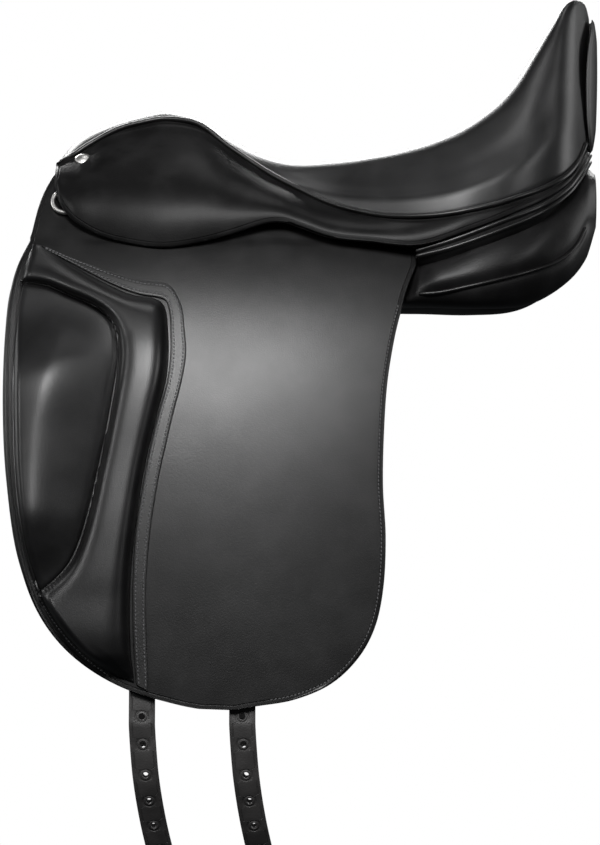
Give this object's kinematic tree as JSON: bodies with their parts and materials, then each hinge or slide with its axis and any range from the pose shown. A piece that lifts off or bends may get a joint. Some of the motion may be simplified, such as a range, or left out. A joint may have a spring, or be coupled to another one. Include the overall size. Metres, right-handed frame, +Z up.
{
  "type": "english dressage saddle",
  "caption": "Black leather English dressage saddle with long straight flaps, knee blocks, deep seat, high cantle, lifting skirts and hanging girth straps.",
  "frame": {"origin": "on the centre plane, level with the two panels' bearing faces under the deepest part of the seat", "axes": "+X towards the cantle, +Y towards the horse's off (right) side, +Z up"},
  "size_m": [0.4949, 0.449, 0.7886],
  "materials": {
    "seat_leather": "satin",
    "flap_leather": "satin",
    "block_leather": "satin",
    "panel_leather": "soft satin",
    "strap_leather": "satin",
    "nickel": "polished",
    "steel": "brushed",
    "tree_wood": "varnished laminate",
    "foam": "matte foam",
    "webbing": "woven"
  },
  "bodies": {
    "root": {"tree_head": "tree_wood", "tree_rail_left": "tree_wood", "tree_rail_right": "tree_wood", "tree_cantle": "tree_wood", "head_plate": "steel", "gullet_plate": "steel", "pommel_facing": "seat_leather", "tree_rivets": "steel", "straining_webs": "webbing", "girth_web_front": "webbing", "girth_web_rear": "webbing", "seat_foam": "foam", "seat_cover": "seat_leather", "cantle_back": "seat_leather", "seat_welt_left": "seat_leather", "seat_welt_right": "seat_leather", "skirt_top_left": "flap_leather", "skirt_top_right": "flap_leather", "skirt_nail_left": "nickel", "skirt_nail_right": "nickel", "rear_facing_left": "seat_leather", "rear_facing_right": "seat_leather", "panel_left": "panel_leather", "panel_right": "panel_leather", "point_pocket_left": "panel_leather", "point_pocket_right": "panel_leather", "sweat_flap_left": "flap_leather", "sweat_flap_right": "flap_leather", "flap_top_left": "flap_leather", "flap_top_right": "flap_leather", "stirrup_bar_left": "steel", "stirrup_bar_right": "steel", "dee_chape_left": "flap_leather", "dee_chape_right": "flap_leather"},
    "flap_left": {"flap_left": "flap_leather", "knee_block_left": "block_leather", "block_inset_left": "block_leather", "block_border_left": "flap_leather"},
    "skirt_left": {"skirt_left": "flap_leather"},
    "bar_catch_left": {"bar_catch_left": "steel"},
    "dee_left": {"dee_left": "nickel"},
    "front_strap_left": {"front_strap_left": "strap_leather"},
    "front_strap_end_left": {"front_strap_end_left": "strap_leather"},
    "rear_strap_left": {"rear_strap_left": "strap_leather"},
    "rear_strap_end_left": {"rear_strap_end_left": "strap_leather"},
    "flap_right": {"flap_right": "flap_leather", "knee_block_right": "block_leather", "block_inset_right": "block_leather", "block_border_right": "flap_leather"},
    "skirt_right": {"skirt_right": "flap_leather"},
    "bar_catch_right": {"bar_catch_right": "steel"},
    "dee_right": {"dee_right": "nickel"},
    "front_strap_right": {"front_strap_right": "strap_leather"},
    "front_strap_end_right": {"front_strap_end_right": "strap_leather"},
    "rear_strap_right": {"rear_strap_right": "strap_leather"},
    "rear_strap_end_right": {"rear_strap_end_right": "strap_leather"}
  },
  "joints": [
    {"name": "flap_lift_left", "type": "hinge", "parent": "root", "child": "flap_left", "pos_m": [-0.064, -0.1168, 0.036], "axis": [-0.9976, 0.0281, 0.0625], "range_deg": [0, 85]},
    {"name": "skirt_lift_left", "type": "hinge", "parent": "root", "child": "skirt_left", "pos_m": [-0.1251, -0.1111, 0.0796], "axis": [-0.9762, 0.1414, 0.1645], "range_deg": [0, 60]},
    {"name": "catch_lift_left", "type": "hinge", "parent": "root", "child": "bar_catch_left", "pos_m": [-0.092, -0.1015, 0.068], "axis": [0, -1, 0], "range_deg": [0, 75]},
    {"name": "dee_swing_left", "type": "hinge", "parent": "root", "child": "dee_left", "pos_m": [-0.193, -0.08962, 0.08], "axis": [0.5299, -0.5045, -0.6817], "range_deg": [-6, 6]},
    {"name": "front_strap_swing_left", "type": "hinge", "parent": "root", "child": "front_strap_left", "pos_m": [-0.126, -0.10052, 0.048], "axis": [0, 1, 0], "range_deg": [-5, 3]},
    {"name": "rear_strap_swing_left", "type": "hinge", "parent": "root", "child": "rear_strap_left", "pos_m": [-0.046, -0.10081, 0.048], "axis": [0, 1, 0], "range_deg": [-3, 5]},
    {"name": "front_strap_bend_left", "type": "hinge", "parent": "front_strap_left", "child": "front_strap_end_left", "pos_m": [-0.126, -0.21212, -0.345], "axis": [-1, 0, 0], "range_deg": [-40, 75]},
    {"name": "rear_strap_bend_left", "type": "hinge", "parent": "rear_strap_left", "child": "rear_strap_end_left", "pos_m": [-0.046, -0.2124, -0.345], "axis": [-1, 0, 0], "range_deg": [-40, 75]},
    {"name": "flap_lift_right", "type": "hinge", "parent": "root", "child": "flap_right", "pos_m": [-0.064, 0.1168, 0.036], "axis": [0.9976, 0.0281, -0.0625], "range_deg": [0, 85]},
    {"name": "skirt_lift_right", "type": "hinge", "parent": "root", "child": "skirt_right", "pos_m": [-0.1251, 0.1111, 0.0796], "axis": [0.9762, 0.1414, -0.1645], "range_deg": [0, 60]},
    {"name": "catch_lift_right", "type": "hinge", "parent": "root", "child": "bar_catch_right", "pos_m": [-0.092, 0.1015, 0.068], "axis": [0, -1, 0], "range_deg": [0, 75]},
    {"name": "dee_swing_right", "type": "hinge", "parent": "root", "child": "dee_right", "pos_m": [-0.193, 0.08962, 0.08], "axis": [-0.5299, -0.5045, 0.6817], "range_deg": [-6, 6]},
    {"name": "front_strap_swing_right", "type": "hinge", "parent": "root", "child": "front_strap_right", "pos_m": [-0.126, 0.10052, 0.048], "axis": [0, 1, 0], "range_deg": [-5, 3]},
    {"name": "rear_strap_swing_right", "type": "hinge", "parent": "root", "child": "rear_strap_right", "pos_m": [-0.046, 0.10081, 0.048], "axis": [0, 1, 0], "range_deg": [-3, 5]},
    {"name": "front_strap_bend_right", "type": "hinge", "parent": "front_strap_right", "child": "front_strap_end_right", "pos_m": [-0.1442, 0.21152, -0.345], "axis": [1, 0, 0], "range_deg": [-40, 75]},
    {"name": "rear_strap_bend_right", "type": "hinge", "parent": "rear_strap_right", "child": "rear_strap_end_right", "pos_m": [-0.0525, 0.21253, -0.345], "axis": [1, 0, 0], "range_deg": [-40, 75]}
  ]
}
